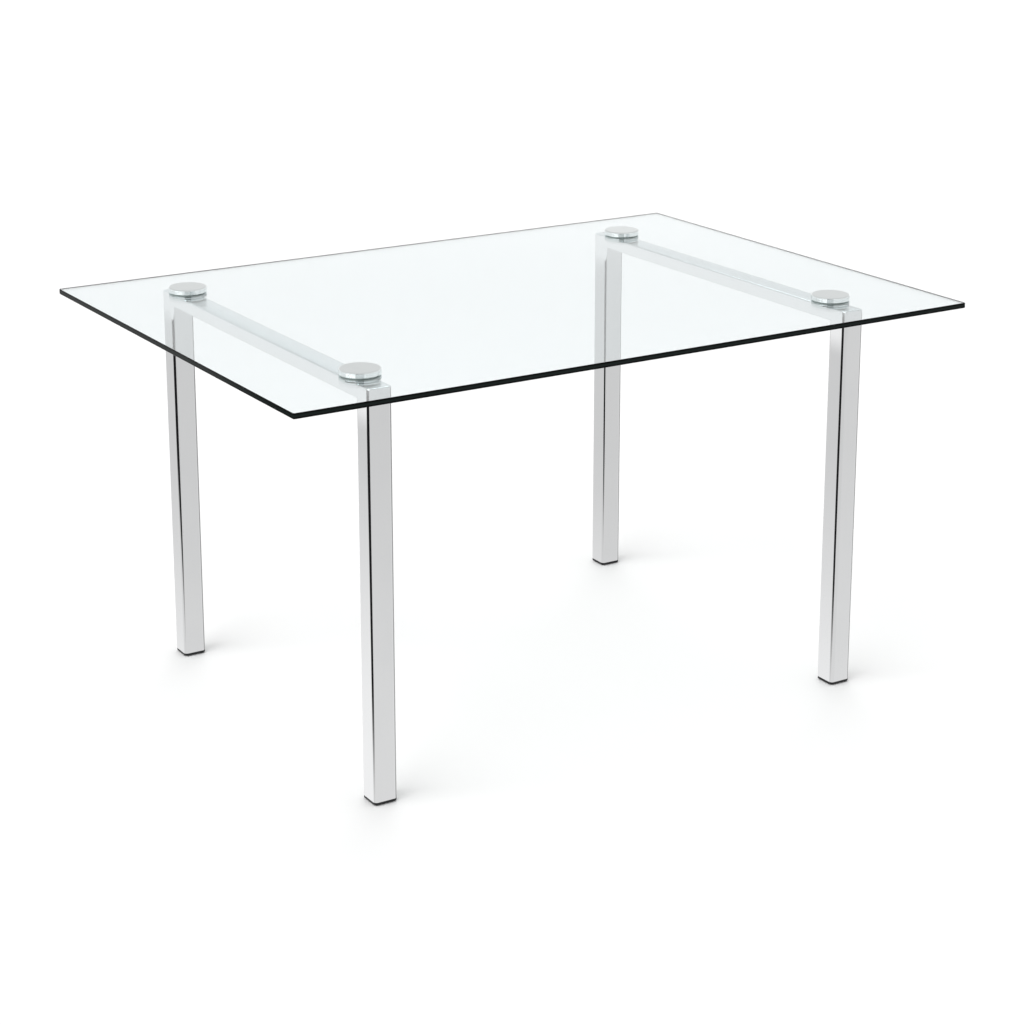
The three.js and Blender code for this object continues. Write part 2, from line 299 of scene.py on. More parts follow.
felt = material("black_felt", flag_finish)
for name, flag in FLAGS.items():
    corners = upright_corners(flag["x"], *flag["y"], FLAG_FADE[0], flag["top"])
    stand_for_mirrors(name, corners, felt)


# The strip lights: a thin one close beside each rail and a short panel beside the top of each leg.
# Only mirrors see them, from their right-hand side, and they keep the rails' outer faces light.

STRIP_X = {"left": -0.565, "right": 0.435}
STRIP_TOP = 0.745
RAIL_STRIP = {"near": -0.29, "far": 0.47, "foot": 0.672}
LEG_PANELS = {
    "front_left": {"near": -0.343, "far": -0.28, "foot": 0.62},
    "back_left": {"near": 0.455, "far": 0.56, "foot": 0.62},
    "front_right": {"near": -0.368, "far": -0.28, "foot": 0.62},
    "back_right": {"near": 0.43, "far": 0.56, "foot": 0.62},
}
STRIP_FADE = (0.635, 0.685)
STRIP_STRENGTH = 0.92


def strip_finish(start):
    """An even white light that dies away at its lower edge, seen only from the front."""
    place = start.node("ShaderNodeTexCoord", output="Object")
    height = start.node("ShaderNodeSeparateXYZ", inputs={0: place}, output="Z")
    behind = start.node("ShaderNodeNewGeometry", output="Backfacing")
    glow = start.node("ShaderNodeEmission", inputs={"Strength": STRIP_STRENGTH})
    clear = start.node("ShaderNodeBsdfTransparent")
    shown = height.rise(*STRIP_FADE) * (1 - behind)
    return start.node("ShaderNodeMixShader", inputs={0: shown, 1: clear, 2: glow})


strip_light = material("strip_light", strip_finish)
panels = {"rail_left": RAIL_STRIP, "rail_right": RAIL_STRIP, **LEG_PANELS}
for name, panel in panels.items():
    x = STRIP_X[name.split("_")[1]]
    corners = upright_corners(x, panel["near"], panel["far"], panel["foot"], STRIP_TOP)
    stand_for_mirrors(f"light_by_{name}", corners, strip_light)


# The black card: a wide one across the camera stand, with the lens near its middle. Only mirrors see
# it. The sides of the discs throw it back, by way of the glass, as a small dark block.

BLACK_CARD_HALF_WIDTH = 1.5
BLACK_CARD_BELOW_LENS = (0.50, -0.30)


def card_finish(start):
    """Black card with a little fleck in it."""
    place = start.node("ShaderNodeTexCoord", output="Object")
    fleck = place.noise(12.0)
    shade = fleck.between((0.010, 0.010, 0.011, 1), (0.030, 0.031, 0.032, 1))
    return start.node("ShaderNodeEmission", inputs={"Color": shade})


aside = Vector((looks_along.y, -looks_along.x, 0)).normalized() * BLACK_CARD_HALF_WIDTH
card_foot, card_top = (Vector(CAMERA_PLACE) - Vector((0, 0, z)) for z in BLACK_CARD_BELOW_LENS)
corners = [card_foot + aside, card_foot - aside, card_top - aside, card_top + aside]
stand_for_mirrors("black_card", corners, material("black_card", card_finish))


# The legs: square steel tube with round corners, 45 mm across and 1.5 mm thick, cut square and
# chromed bright after the frame is welded and its welds are ground flush.

LEG_CORNER_RADIUS = 7 * MM
LEG_WALL = 1.5 * MM
LEG_END_ROUND = 0.4 * MM
TUBE_CORNER_STEPS = 12
TUBE_LEAD = 0.5 * MM
SHARP_ANGLE = math.radians(32)


def rounded_outline(width, height, radius, steps=TUBE_CORNER_STEPS, lead=TUBE_LEAD):
    """Points round a rectangle with round corners, anticlockwise. Each corner is a quarter circle
    about a centre one radius in from both sides, and starts and ends with a short straight lead."""
    turn = np.linspace(0, np.pi / 2, steps + 1)
    turn = np.concatenate([turn[:1], turn, turn[-1:]])
    slip = np.zeros(len(turn))
    slip[0], slip[-1] = -lead, lead
    start = np.arange(4)[:, None] * np.pi / 2
    x = radius * np.cos(start + turn) - slip * np.sin(start + turn)
    y = radius * np.sin(start + turn) + slip * np.cos(start + turn)
    side_x = np.array([1, -1, -1, 1])[:, None]
    side_y = np.array([1, 1, -1, -1])[:, None]
    x = x + side_x * (width / 2 - radius)
    y = y + side_y * (height / 2 - radius)
    return np.column_stack([x.ravel(), y.ravel()])


def mesh_of_rings(name, rings, ends):
    """A closed mesh through rings of points, given as an array of rings x points x 3. Each point
    joins the next one round its ring and the same one on the next ring. With ends "loop" the last
    ring joins the first, and with "face" each end ring is filled by one flat face."""
    count, size = rings.shape[:2]
    index = np.arange(count * size).reshape(count, size)
    upper = np.roll(index, -1, axis=0) if ends == "loop" else index[1:]
    lower = index if ends == "loop" else index[:-1]
    quads = np.stack(
        [lower, np.roll(lower, -1, axis=1), np.roll(upper, -1, axis=1), upper], axis=2
    )
    faces = quads.reshape(-1, 4).tolist()
    if ends == "face":
        faces += [index[0, ::-1].tolist(), index[-1].tolist()]
    mesh = bpy.data.meshes.new(name)
    mesh.from_pydata(rings.reshape(-1, 3).tolist(), [], faces)
    return mesh


def place_piece(name, mesh, finishes, node, body):
    """Puts a mesh in the scene as the piece that stands for a node and rides on its body."""
    mesh.shade_smooth()
    mesh.set_sharp_from_angle(angle=SHARP_ANGLE)
    for finish in finishes:
        mesh.materials.append(finish)
    made = bpy.data.objects.new(name, mesh)
    scene.collection.objects.link(made)
    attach(made, body)
    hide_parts(node)
    return made


def outline_at(outline, height, centre):
    """An outline of x and y as a ring of points at one height, about a centre."""
    ring = np.column_stack([outline, np.full(len(outline), height)])
    return ring + np.array([centre[0], centre[1], 0.0])


def bright_chrome(start):
    """Chrome plate: a clear mirror with faint polishing lines along it and a little dullness that
    comes and goes, as hand marks and the polishing wheel leave it."""
    place = start.node("ShaderNodeTexCoord", output="Object")
    along = start.node("ShaderNodeMapping", inputs={"Vector": place, "Scale": (1, 1, 0.02)})
    lines = along.noise(900.0, 3.0)
    cloud = place.noise(9.0, 4.0)
    peel = place.noise(160.0, 1.0)
    dull = cloud.rise(0.42, 0.75)
    colour = (0.6 * lines + 0.4 * dull).between((0.925, 0.930, 0.935, 1), (0.885, 0.893, 0.900, 1))
    ripple = start.node(
        "ShaderNodeBump",
        inputs={"Strength": 0.012, "Distance": 0.001, "Height": peel + 0.35 * lines},
    )
    return start.node(
        "ShaderNodeBsdfPrincipled",
        inputs={
            "Base Color": colour,
            "Metallic": 1.0,
            "Roughness": 0.035 + 0.02 * lines + 0.03 * dull,
            "Normal": ripple,
        },
    )


chrome = material("bright_chrome", bright_chrome)

for place in PLACES:
    low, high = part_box(f"leg_{place}")
    centre = (low + high) / 2
    side = high.x - low.x
    outer = rounded_outline(side, side, LEG_CORNER_RADIUS)
    eased = rounded_outline(
        side - 2 * LEG_END_ROUND, side - 2 * LEG_END_ROUND, LEG_CORNER_RADIUS - LEG_END_ROUND
    )
    bore_side = side - 2 * LEG_WALL
    bore = rounded_outline(bore_side, bore_side, LEG_CORNER_RADIUS - LEG_WALL)
    rings = [
        outline_at(bore, low.z, centre),
        outline_at(eased, low.z, centre),
        outline_at(outer, low.z + LEG_END_ROUND, centre),
        outline_at(outer, low.z + LEG_END_ROUND + TUBE_LEAD, centre),
        outline_at(outer, high.z - TUBE_LEAD, centre),
        outline_at(outer, high.z, centre),
        outline_at(bore, high.z, centre),
    ]
    mesh = mesh_of_rings(f"leg_tube_{place}", np.array(rings), "loop")
    leg = place_piece(f"leg_tube_{place}", mesh, [chrome], f"leg_{place}", "table")


# The plates that close the tops of the legs: 3 mm steel welded on and ground to the tube's outline.
# Their outer edges are eased with the grinder; the edge that meets the rail stays flush with it.

PLATE_EDGE_ROUND = 2.4 * MM
PLATE_ROUND_STEPS = 6

for place in PLACES:
    low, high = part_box(f"leg_plate_{place}")
    centre = (low + high) / 2
    side = high.x - low.x
    inward = 1 if place.startswith("front") else -1
    outline = rounded_outline(side, side, LEG_CORNER_RADIUS)
    flat_half = side / 2 - LEG_CORNER_RADIUS
    towards = outline - np.clip(outline, -flat_half, flat_half)
    towards = towards / np.linalg.norm(towards, axis=1, keepdims=True)
    ease = PLATE_EDGE_ROUND * np.clip(1 - towards[:, 1] * inward, 0, 1)[:, None]
    rings = [outline_at(outline, low.z, centre)]
    for step in range(PLATE_ROUND_STEPS + 1):
        angle = step / PLATE_ROUND_STEPS * np.pi / 2
        ring = outline - towards * ease * (1 - math.cos(angle))
        drop = (ease * (1 - math.sin(angle))).ravel()
        rings.append(outline_at(ring, high.z, centre) - np.outer(drop, (0, 0, 1)))
    mesh = mesh_of_rings(f"leg_top_plate_{place}", np.array(rings), "face")
    plate = place_piece(f"leg_top_plate_{place}", mesh, [chrome], f"leg_plate_{place}", "table")


# The rails: flat rectangular tube between each front leg and back leg, under the glass. The ends
# are coped to the legs' round corners and welded, and two holes in the top wall take the inserts.

RAIL_CORNER_RADIUS = 4 * MM
RAIL_WALL = 2 * MM
RAIL_COPE_GAP = 0.05 * MM
INSERT_HOLE_RADIUS = 6.1 * MM
CUTTER_SIDES = 64


def turned(profile, centre, sides):
    """A profile of radius and height turned about the upright through centre, as rings of points:
    x = r cos a, y = r sin a, z = h, where a runs once round."""
    angle = np.linspace(0, 2 * np.pi, sides, endpoint=False)
    profile = np.asarray(profile, float)
    radius, height = profile[:, :1], profile[:, 1:]
    x = centre[0] + radius * np.cos(angle)
    y = centre[1] + radius * np.sin(angle)
    return np.stack([x, y, np.broadcast_to(height, x.shape)], axis=2)


def bored(mesh, radius, bottom, top, centres):
    """The mesh with an upright round hole through it at each centre."""
    body = bpy.data.objects.new("blank", mesh)
    scene.collection.objects.link(body)
    tools = []
    for index, centre in enumerate(centres):
        rings = turned([(radius, bottom), (radius, top)], centre, CUTTER_SIDES)
        tool = bpy.data.objects.new(f"drill_{index}", mesh_of_rings("drill", rings, "face"))
        scene.collection.objects.link(tool)
        cut = body.modifiers.new("bore", "BOOLEAN")
        cut.operation = "DIFFERENCE"
        cut.solver = "EXACT"
        cut.object = tool
        tools.append(tool)
    bpy.context.view_layer.update()
    shown = body.evaluated_get(bpy.context.evaluated_depsgraph_get())
    result = bpy.data.meshes.new_from_object(shown)
    result.name = mesh.name
    for spent in [body, *tools]:
        bpy.data.objects.remove(spent)
    return result


for side_name in ["left", "right"]:
    low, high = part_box(f"rail_{side_name}")
    plate_low, plate_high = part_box(f"leg_plate_back_{side_name}")
    leg_y = (plate_low.y + plate_high.y) / 2
    leg_half = (plate_high.y - plate_low.y) / 2
    centre_x, centre_z = (low.x + high.x) / 2, (low.z + high.z) / 2
    width, height = high.x - low.x, high.z - low.z
    outer = rounded_outline(width, height, RAIL_CORNER_RADIUS)
    bore = rounded_outline(width - 2 * RAIL_WALL, height - 2 * RAIL_WALL, RAIL_CORNER_RADIUS / 2)
    rings = []
    for outline, ends in [(outer, (1, -1)), (bore, (-1, 1))]:
        past_flat = np.clip(np.abs(outline[:, 0]) - (leg_half - LEG_CORNER_RADIUS), 0, None)
        arc = np.sqrt(np.clip(LEG_CORNER_RADIUS**2 - past_flat**2, 0, None))
        reach = leg_y - (leg_half - LEG_CORNER_RADIUS) - arc - RAIL_COPE_GAP
        for end in ends:
            y = end * reach
            rings.append(np.column_stack([outline[:, 0] + centre_x, y, outline[:, 1] + centre_z]))
    rail_mesh = mesh_of_rings(f"rail_tube_{side_name}", np.array(rings), "loop")
    holes = []
    for end_name in ["front", "back"]:
        insert_low, insert_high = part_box(f"rail_insert_{end_name}_{side_name}")
        holes.append((insert_low + insert_high) / 2)
    top_wall = (high.z - 1.5 * RAIL_WALL, high.z + RAIL_WALL)
    rail_mesh = bored(rail_mesh, INSERT_HOLE_RADIUS, *top_wall, holes)
    rail = place_piece(
        f"rail_tube_{side_name}", rail_mesh, [chrome], f"rail_{side_name}", "table"
    )


# The feet: a black plastic plug in the end of each leg. Only its flange shows, with a rounded lower
# edge; fins on the core above it grip the bore of the tube.

FLANGE_THICKNESS = 5 * MM
FLANGE_EDGE_ROUND = 2.2 * MM
FLANGE_ROUND_STEPS = 5
FIN_GAP = 0.3 * MM
FIN_DEPTH = 1.5 * MM
FIN_THICKNESS = 1.6 * MM
FIN_PITCH = 9 * MM
PAD_GAP = 0.3 * MM
GLIDE_BORE_RADIUS = 4.3 * MM


def moulded_black(start):
    """Black plastic from a spark-eroded mould: a fine even grain, duller where it is rubbed."""
    place = start.node("ShaderNodeTexCoord", output="Object")
    grain = place.noise(2600.0, 2.0)
    rubbed = place.noise(60.0, 3.0)
    colour = rubbed.rise(0.45, 0.8).between((0.006, 0.006, 0.007, 1), (0.016, 0.016, 0.017, 1))
    bump = start.node(
        "ShaderNodeBump", inputs={"Strength": 0.2, "Distance": 0.0001, "Height": grain}
    )
    return start.node(
        "ShaderNodeBsdfPrincipled",
        inputs={
            "Base Color": colour,
            "Roughness": 0.38 + 0.15 * rubbed,
            "Specular IOR Level": 0.35,
            "Normal": bump,
        },
    )


black_plastic = material("moulded_black_plastic", moulded_black)

for place in PLACES:
    low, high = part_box(f"foot_plug_{place}")
    leg_low, leg_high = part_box(f"leg_{place}")
    pad_low, pad_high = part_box(f"glide_pad_{place}")
    centre = (low + high) / 2
    side = leg_high.x - leg_low.x
    flange_top = low.z + FLANGE_THICKNESS
    rings = []
    for step in range(FLANGE_ROUND_STEPS + 1):
        angle = step / FLANGE_ROUND_STEPS * np.pi / 2
        inset = FLANGE_EDGE_ROUND * (1 - math.sin(angle))
        lift = FLANGE_EDGE_ROUND * (1 - math.cos(angle))
        ring = rounded_outline(side - 2 * inset, side - 2 * inset, LEG_CORNER_RADIUS - inset)
        rings.append(outline_at(ring, low.z + lift, centre))
    rings.append(outline_at(rounded_outline(side, side, LEG_CORNER_RADIUS), flange_top, centre))
    fin_side = side - 2 * LEG_WALL - 2 * FIN_GAP
    fin_radius = LEG_CORNER_RADIUS - LEG_WALL - FIN_GAP
    core_side = fin_side - 2 * FIN_DEPTH
    core_radius = fin_radius - FIN_DEPTH
    fin = rounded_outline(fin_side, fin_side, fin_radius)
    core = rounded_outline(core_side, core_side, core_radius)
    rings.append(outline_at(core, flange_top, centre))
    for base in np.arange(flange_top + FIN_PITCH, high.z - FIN_THICKNESS, FIN_PITCH):
        rings.append(outline_at(core, base, centre))
        rings.append(outline_at(fin, base, centre))
        rings.append(outline_at(fin, base + 0.4 * FIN_THICKNESS, centre))
        rings.append(outline_at(core, base + FIN_THICKNESS, centre))
    rings.append(outline_at(core, high.z, centre))
    plug_mesh = mesh_of_rings(f"foot_moulding_{place}", np.array(rings), "face")
    pad_radius = (pad_high.x - pad_low.x) / 2
    recess_top = pad_high.z + low.z - pad_low.z
    plug_mesh = bored(plug_mesh, pad_radius + PAD_GAP, pad_low.z - MM, recess_top, [centre])
    plug_mesh = bored(plug_mesh, GLIDE_BORE_RADIUS, pad_low.z, high.z + MM, [centre])
    plug = place_piece(
        f"foot_moulding_{place}", plug_mesh, [black_plastic], f"foot_plug_{place}", "table"
    )


# The glides: a plastic pad snapped over the head of a threaded stud, wound up into the plug. The
# pad slides down as its stud is turned with a key through the hole in its base.

PAD_EDGE_ROUND = 1 * MM
PAD_BASE = 1.5 * MM
PAD_LIP = 1 * MM
PAD_KEY_EASE = 0.3 * MM
PAD_TOP_EASE = 0.6 * MM
PAD_INNER_EASE = 0.2 * MM
HEAD_RADIUS = 7 * MM
HEAD_THICKNESS = 3 * MM
HEAD_EASE = 0.3 * MM
KEY_RADIUS = 2.9 * MM
KEY_DEPTH = 4 * MM
FIT_GAP = 0.3 * MM
STUD_PITCH = 1.25 * MM
THREAD_DEPTH = 0.6 * MM
STEPS_PER_TURN = 6
TURNED_SIDES = 64
STUD_SIDES = 36


def eased_profile(corners, reach, steps=5):
    """A closed outline with each corner P eased into a curve from the point A, a reach before it, to
    the point B, a reach after it: (1 - t)^2 A + 2 t (1 - t) P + t^2 B for t from 0 to 1."""
    corners = np.asarray(corners, float)
    reach = np.broadcast_to(reach, len(corners))[:, None]
    before = np.roll(corners, 1, axis=0) - corners
    after = np.roll(corners, -1, axis=0) - corners
    start = corners + before / np.linalg.norm(before, axis=1, keepdims=True) * reach
    end = corners + after / np.linalg.norm(after, axis=1, keepdims=True) * reach
    t = np.linspace(0, 1, steps + 1)[None, :, None]
    curve = (1 - t) ** 2 * start[:, None] + 2 * t * (1 - t) * corners[:, None]
    return (curve + t**2 * end[:, None]).reshape(-1, 2)


def threaded_rings(radius, depth, pitch, bottom, top, centre, sides=STUD_SIDES):
    """Rings of a threaded shank: r = R - d |2 f - 1|^0.8, where f is how far the point has climbed
    into its turn, (z / pitch - a / 2 pi) less whole turns, and the ends are turned down."""
    turns = (top - bottom) / pitch
    z = np.linspace(bottom, top, int(turns * STEPS_PER_TURN) + 1)[:, None]
    angle = np.linspace(0, 2 * np.pi, sides, endpoint=False)[None, :]
    climbed = np.mod((z - bottom) / pitch - angle / (2 * np.pi), 1.0)
    groove = np.abs(2 * climbed - 1) ** 0.8
    lead = np.clip(1 - np.minimum(z - bottom, top - z) / pitch, 0, 1)
    r = radius - depth * np.maximum(groove, lead)
    x = centre[0] + r * np.cos(angle)
    y = centre[1] + r * np.sin(angle)
    return np.stack([x, y, np.broadcast_to(z, x.shape)], axis=2)


def bright_zinc(start):
    """Zinc plate on turned steel: soft metal with a faint blue and straw bloom and turning lines."""
    place = start.node("ShaderNodeTexCoord", output="Object")
    bloom = place.noise(220.0, 3.0)
    across = start.node("ShaderNodeMapping", inputs={"Vector": place, "Scale": (0.1, 0.1, 1)})
    lines = across.noise(5000.0)
    colour = bloom.rise(0.35, 0.65).between((0.58, 0.61, 0.64, 1), (0.66, 0.64, 0.58, 1))
    bump = start.node(
        "ShaderNodeBump", inputs={"Strength": 0.12, "Distance": 0.0002, "Height": lines}
    )
    return start.node(
        "ShaderNodeBsdfPrincipled",
        inputs={
            "Base Color": colour,
            "Metallic": 1.0,
            "Roughness": 0.24 + 0.16 * bloom,
            "Normal": bump,
        },
    )


zinc = material("bright_zinc", bright_zinc)

for place in PLACES:
    low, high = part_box(f"glide_pad_{place}")
    stud_low, stud_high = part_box(f"glide_stud_{place}")
    centre = (low + high) / 2
    radius = (high.x - low.x) / 2
    key_hole = KEY_RADIUS + FIT_GAP
    cavity = HEAD_RADIUS + FIT_GAP
    outline = eased_profile(
        [
            (key_hole, low.z),
            (radius, low.z),
            (radius, high.z),
            (GLIDE_BORE_RADIUS, high.z),
            (GLIDE_BORE_RADIUS, high.z - PAD_LIP),
            (cavity, high.z - PAD_LIP),
            (cavity, low.z + PAD_BASE),
            (key_hole, low.z + PAD_BASE),
        ],
        [PAD_KEY_EASE, PAD_EDGE_ROUND, PAD_TOP_EASE, PAD_KEY_EASE] + [PAD_INNER_EASE] * 4,
    )
    pad_mesh = mesh_of_rings(f"glide_moulding_{place}", turned(outline, centre, TURNED_SIDES), "loop")
    pad = place_piece(
        f"glide_moulding_{place}", pad_mesh, [black_plastic], f"glide_pad_{place}", f"pad_{place}"
    )

    shank = threaded_rings(
        GLIDE_BORE_RADIUS - FIT_GAP,
        THREAD_DEPTH,
        STUD_PITCH,
        stud_low.z + HEAD_THICKNESS,
        stud_high.z,
        centre,
    )
    shank_root = GLIDE_BORE_RADIUS - FIT_GAP - THREAD_DEPTH
    head = [
        (HEAD_RADIUS - HEAD_EASE, stud_low.z),
        (HEAD_RADIUS, stud_low.z + HEAD_EASE),
        (HEAD_RADIUS, stud_low.z + HEAD_THICKNESS - HEAD_EASE),
        (HEAD_RADIUS - HEAD_EASE, stud_low.z + HEAD_THICKNESS),
        (shank_root, stud_low.z + HEAD_THICKNESS),
    ]
    key_angle = np.linspace(0, 2 * np.pi, STUD_SIDES, endpoint=False)
    key_sector = np.mod(key_angle, np.pi / 3) - np.pi / 6
    key_radius = KEY_RADIUS * math.cos(np.pi / 6) / np.cos(key_sector)
    socket = np.column_stack([key_radius * np.cos(key_angle), key_radius * np.sin(key_angle)])
    rings = np.concatenate(
        [
            [outline_at(socket, stud_low.z + KEY_DEPTH, centre)],
            [outline_at(socket, stud_low.z, centre)],
            turned(head, centre, STUD_SIDES),
            shank[1:],
        ]
    )
    stud_mesh = mesh_of_rings(f"glide_screw_{place}", rings, "face")
    stud = place_piece(
        f"glide_screw_{place}", stud_mesh, [zinc], f"glide_stud_{place}", f"stud_{place}"
    )


# The clamps below the glass: a steel insert riveted into the rail, a turned and chromed disc on it,
# and a thin clear washer that keeps the disc off the glass.

INSERT_COLLAR_RADIUS = 7.7 * MM
INSERT_RADIUS = 5.8 * MM
INSERT_BORE = 4.3 * MM
INSERT_BULGE = 2.5 * MM
INSERT_EASE = 0.3 * MM
INSERT_SEAT_GAP = 0.02 * MM
KNURLS = 24
KNURL_DEPTH = 0.12 * MM
SPACER_EDGE = 0.9 * MM
SPACER_RELIEF_RADIUS = 8 * MM
SPACER_RELIEF = 1.5 * MM
SPACER_INNER_EASE = 0.2 * MM
WASHER_BORE = 6.4 * MM
WASHER_EASE = 0.3 * MM
DISC_SIDES = 128


def turned_chrome_painted_shade(start):
    """Chrome plate on a faced disc, with very faint rings left by the tool round the disc's own centre,
    which the radial ramp in the disc's second coordinate carries. Its colour is painted shade: a darker
    and slightly greener copy of the legs' chrome, so the discs read dimmer."""
    place = start.node("ShaderNodeUVMap", {"uv_map": "turning"})
    rings = start.node(
        "ShaderNodeTexNoise",
        {"noise_dimensions": "1D"},
        {"W": start.node("ShaderNodeSeparateXYZ", inputs={0: place}, output="Y"), "Scale": 1400.0},
    )
    spot = start.node("ShaderNodeTexCoord", output="Object")
    cloud = spot.noise(30.0, 4.0)
    dull = cloud.rise(0.45, 0.75)
    # Painted shade: both colours are darker than the legs' chrome, so the discs come out dimmer than
    # the legs.
    colour = (0.5 * rings + 0.5 * dull).between((0.790, 0.825, 0.825, 1), (0.745, 0.780, 0.780, 1))
    bump = start.node(
        "ShaderNodeBump", inputs={"Strength": 0.02, "Distance": 0.0002, "Height": rings}
    )
    return start.node(
        "ShaderNodeBsdfPrincipled",
        inputs={
            "Base Color": colour,
            "Metallic": 1.0,
            "Roughness": 0.04 + 0.03 * rings + 0.03 * dull,
            "Normal": bump,
        },
    )


def clear_vinyl(start):
    """Soft clear vinyl: milky, a little cloudy inside and half dull."""
    place = start.node("ShaderNodeTexCoord", output="Object")
    cloud = place.noise(400.0, 3.0)
    colour = cloud.between((0.20, 0.23, 0.225, 1), (0.30, 0.34, 0.33, 1))
    return start.node(
        "ShaderNodeBsdfPrincipled",
        inputs={"Base Color": colour, "Roughness": 0.35 + 0.1 * cloud},
    )


def add_turning(mesh, centre):
    """Gives a turned mesh a map whose second coordinate is each corner's distance from the axis."""
    points = np.empty(len(mesh.vertices) * 3, np.float32)
    mesh.vertices.foreach_get("co", points)
    points = points.reshape(-1, 3)
    away = points[:, :2] - np.array([centre[0], centre[1]])
    corner = np.empty(len(mesh.loops), np.int32)
    mesh.loops.foreach_get("vertex_index", corner)
    distance = np.linalg.norm(away, axis=1)[corner]
    turn = np.arctan2(away[:, 1], away[:, 0])[corner] / (2 * np.pi) + 0.5
    layer = mesh.uv_layers.new(name="turning")
    layer.data.foreach_set("uv", np.column_stack([turn, distance]).astype(np.float32).ravel())


disc_chrome_painted_shade = material("turned_chrome_painted_shade", turned_chrome_painted_shade)
vinyl = material("clear_vinyl", clear_vinyl)

for place in PLACES:
    low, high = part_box(f"rail_insert_{place}")
    rail_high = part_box(f"rail_{place.split('_')[1]}")[1]
    centre = (low + high) / 2
    wall_under = rail_high.z - RAIL_WALL
    profile = [
        (INSERT_BORE, low.z),
        (INSERT_RADIUS - INSERT_EASE, low.z),
        (INSERT_RADIUS, low.z + INSERT_EASE),
        (INSERT_RADIUS, wall_under - INSERT_BULGE),
        (INSERT_COLLAR_RADIUS - INSERT_EASE, wall_under - 0.6 * INSERT_BULGE),
        (INSERT_COLLAR_RADIUS, wall_under - 0.5 * INSERT_BULGE),
        (INSERT_COLLAR_RADIUS - INSERT_EASE, wall_under - 0.4 * INSERT_BULGE),
        (INSERT_RADIUS, wall_under - INSERT_SEAT_GAP),
        (INSERT_RADIUS, rail_high.z + INSERT_SEAT_GAP),
        (INSERT_COLLAR_RADIUS, rail_high.z + INSERT_SEAT_GAP),
        (INSERT_COLLAR_RADIUS, high.z - INSERT_EASE),
        (INSERT_COLLAR_RADIUS - INSERT_EASE, high.z),
        (INSERT_BORE, high.z),
    ]
    rings = turned(profile, centre, 4 * KNURLS)
    around = np.linspace(0, 2 * np.pi, 4 * KNURLS, endpoint=False)
    gripped = np.array([r for r, _ in profile]) == INSERT_RADIUS
    knurl = KNURL_DEPTH * (np.cos(KNURLS * around) - 1) * gripped[:, None]
    rings[:, :, 0] += knurl * np.cos(around)
    rings[:, :, 1] += knurl * np.sin(around)
    insert_mesh = mesh_of_rings(f"rivet_nut_{place}", rings, "loop")
    insert = place_piece(
        f"rivet_nut_{place}", insert_mesh, [zinc], f"rail_insert_{place}", "table"
    )

    low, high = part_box(f"spacer_disc_{place}")
    radius = (high.x - low.x) / 2
    outline = eased_profile(
        [
            (SPACER_RELIEF_RADIUS, low.z + SPACER_RELIEF),
            (SPACER_RELIEF_RADIUS, low.z),
            (radius, low.z),
            (radius, high.z),
            (INSERT_BORE, high.z),
            (INSERT_BORE, low.z + SPACER_RELIEF),
        ],
        [SPACER_INNER_EASE] * 2 + [SPACER_EDGE] * 2 + [SPACER_INNER_EASE] * 2,
    )
    spacer_mesh = mesh_of_rings(f"turned_spacer_{place}", turned(outline, centre, DISC_SIDES), "loop")
    add_turning(spacer_mesh, centre)
    spacer = place_piece(
        f"turned_spacer_{place}", spacer_mesh, [disc_chrome_painted_shade], f"spacer_disc_{place}", "table"
    )

    for level in ["lower", "upper"]:
        low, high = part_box(f"{level}_gasket_{place}")
        radius = (high.x - low.x) / 2
        outline = eased_profile(
            [(WASHER_BORE, low.z), (radius, low.z), (radius, high.z), (WASHER_BORE, high.z)],
            WASHER_EASE,
            3,
        )
        washer_mesh = mesh_of_rings(
            f"{level}_washer_{place}", turned(outline, centre, DISC_SIDES), "loop"
        )
        washer = place_piece(
            f"{level}_washer_{place}", washer_mesh, [vinyl], f"{level}_gasket_{place}", "table"
        )


# The glass top: one sheet of 10 mm clear toughened float glass with four drilled holes. The faces
# are water clear; the ground and polished edges show the depth of the green and look nearly black.

GLASS_CORNER_RADIUS = 4 * MM
GLASS_ARRIS = 1 * MM
GLASS_HOLE_RADIUS = 6.4 * MM
GLASS_CORNER_STEPS = 8
# Where the painted light along the middle of the glass edge fades out towards the arrises.
EDGE_PAINTED_LIGHT_FADE = (1.2 * MM, 3.0 * MM)


glass_low, glass_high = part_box("glass_top")


def clear_glass(start):
    """Clear float glass. Light on its way to a dull surface passes straight through."""
    path = start.node("ShaderNodeLightPath", output="Is Shadow Ray")
    dull = start.node("ShaderNodeLightPath", output="Is Diffuse Ray")
    place = start.node("ShaderNodeTexCoord", output="Object")
    smear = place.noise(3.0, 5.0)
    sheet = start.node(
        "ShaderNodeBsdfPrincipled",
        inputs={
            "Base Color": (0.912, 0.962, 0.973, 1),
            "Roughness": 0.004 * smear.rise(0.5, 0.8),
            "IOR": 1.5,
            "Transmission Weight": 1.0,
        },
    )
    passed = start.node("ShaderNodeBsdfTransparent", inputs={"Color": (0.97, 0.985, 0.98, 1)})
    return start.node(
        "ShaderNodeMixShader", inputs={0: path.math("MAXIMUM", path, dull), 1: sheet, 2: passed}
    )


def polished_edge(start):
    """The sheet's edge: so deep a green that it looks black, with painted light that makes it a touch
    lighter along the middle of the flat than along the two arrises, and a slow change along its length."""
    place = start.node("ShaderNodeTexCoord", output="Object")
    height = start.node("ShaderNodeSeparateXYZ", inputs={0: place}, output="Z")
    middle = (glass_low.z + glass_high.z) / 2
    off_middle = start.math("ABSOLUTE", height - middle)
    # Painted light: the middle of the edge's flat is drawn lighter than the two arrises.
    flat = off_middle.fall(*EDGE_PAINTED_LIGHT_FADE)
    drift = place.noise(2.5, 3.0)
    colour = (flat * (0.5 + 0.8 * drift)).between((0.0004, 0.0006, 0.0006, 1), (0.007, 0.011, 0.010, 1))
    return start.node(
        "ShaderNodeBsdfPrincipled",
        inputs={
            "Base Color": colour,
            "Roughness": 0.12 + 0.1 * drift,
            "Specular IOR Level": 0.08,
        },
    )


